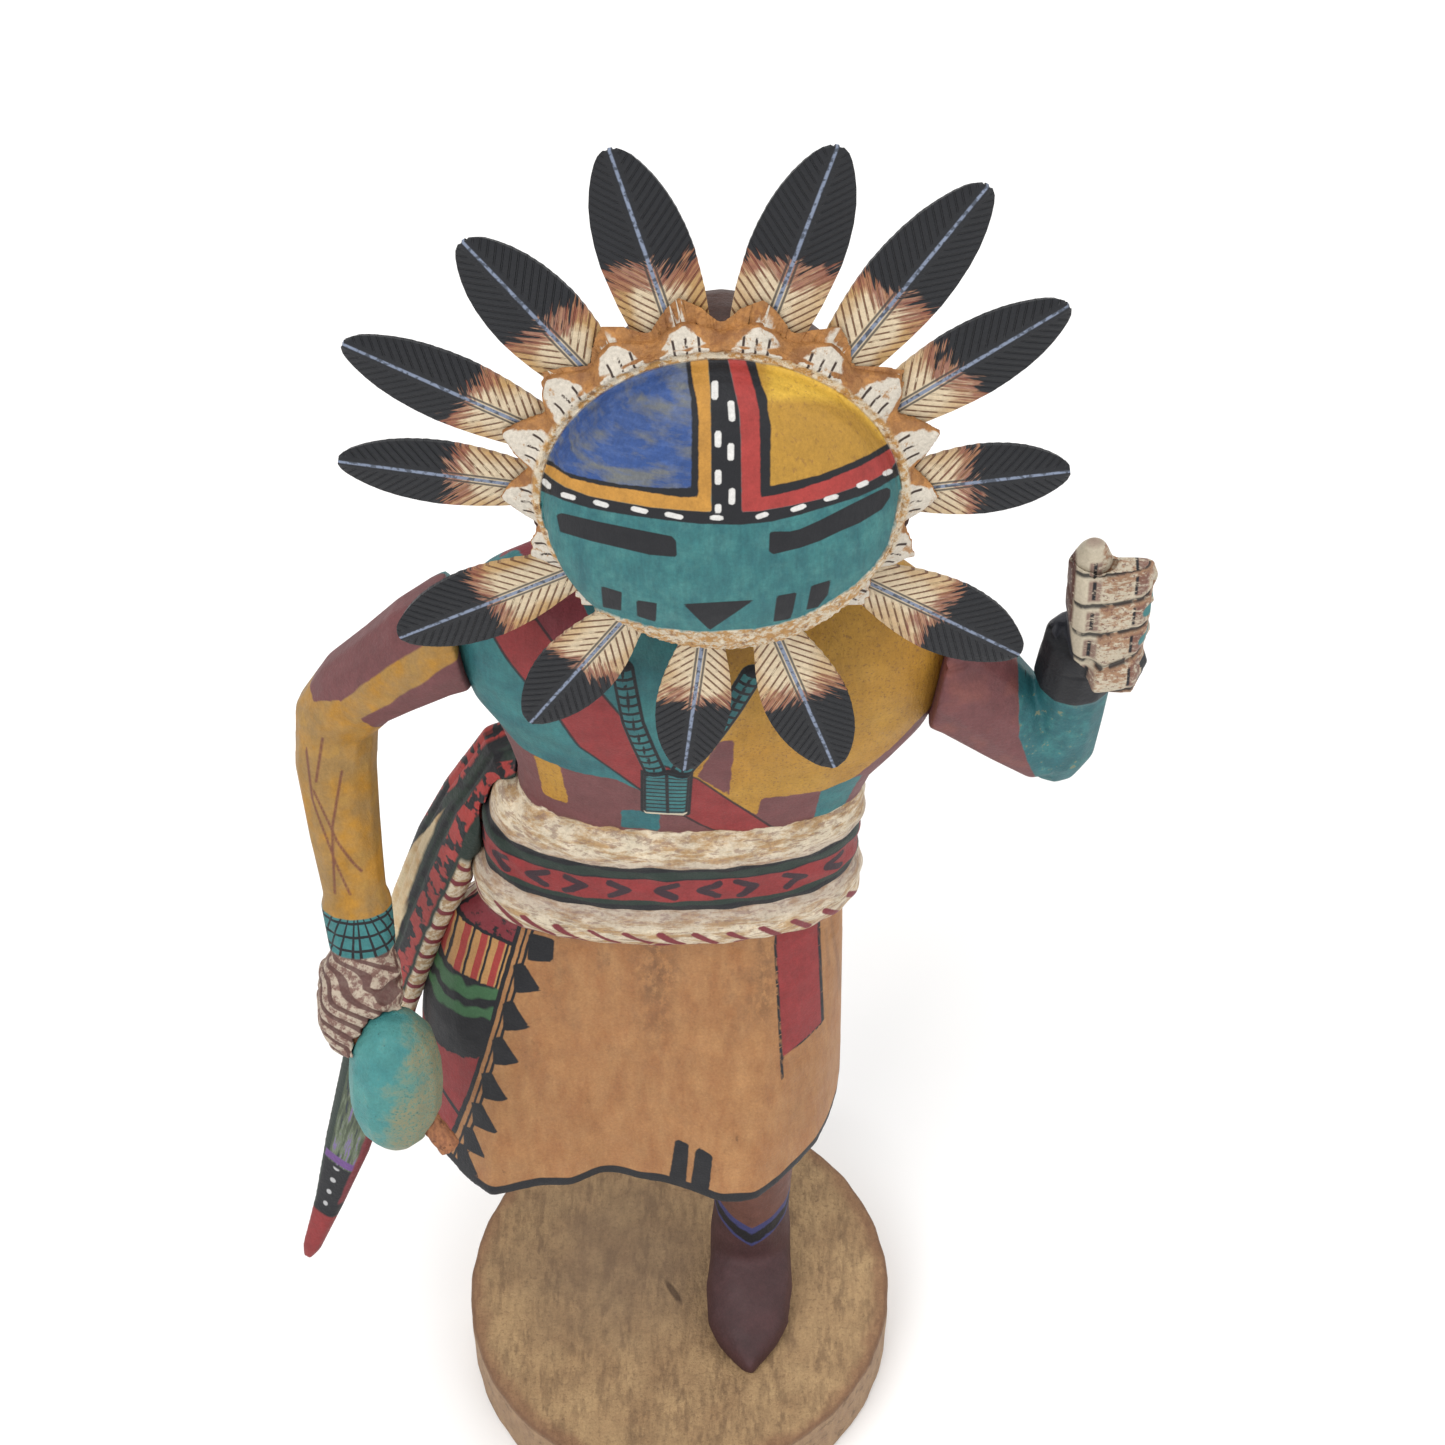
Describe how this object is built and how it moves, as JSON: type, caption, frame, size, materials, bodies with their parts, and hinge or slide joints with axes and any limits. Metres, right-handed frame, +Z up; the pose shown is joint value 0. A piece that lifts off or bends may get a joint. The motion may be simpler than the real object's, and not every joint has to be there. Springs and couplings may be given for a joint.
{
  "type": "carved wooden doll",
  "caption": "Carved and painted wooden dancing figure with a ring of feathers around its round face, a raised fist, a rattle, a kilt and a side sash, standing on a round slab.",
  "frame": {"origin": "middle of the slab's underside", "axes": "+Z up, the figure faces -Y, +X to the right in the picture"},
  "size_m": [0.1698, 0.0964, 0.3729],
  "materials": {
    "base_wood": "bare cottonwood, pale tan with open pores and a worn rim",
    "body_paint": "cottonwood painted in worn earth colours, oiled bare wood on the kilt",
    "arm_paint": "cottonwood with worn turquoise, ochre and maroon paint",
    "sash_paint": "cottonwood with painted bands",
    "head_paint": "cottonwood with worn turquoise, blue, yellow and white paint",
    "feather_paint": "carved cottonwood with burnt barbs, cream roots and black tips",
    "gourd_paint": "turquoise paint, worn and speckled",
    "stick_wood": "raw red-brown stick"
  },
  "bodies": {
    "root": {"base": "base_wood", "body": "body_paint", "right_arm": "arm_paint", "left_arm": "arm_paint", "side_sash": "sash_paint", "head": "head_paint", "feather_01": "feather_paint", "feather_02": "feather_paint", "feather_03": "feather_paint", "feather_04": "feather_paint", "feather_05": "feather_paint", "feather_06": "feather_paint", "feather_07": "feather_paint", "feather_08": "feather_paint", "feather_09": "feather_paint", "feather_10": "feather_paint", "feather_11": "feather_paint", "feather_12": "feather_paint", "feather_13": "feather_paint", "rattle_gourd": "gourd_paint", "rattle_handle": "stick_wood"}
  },
  "joints": []
}
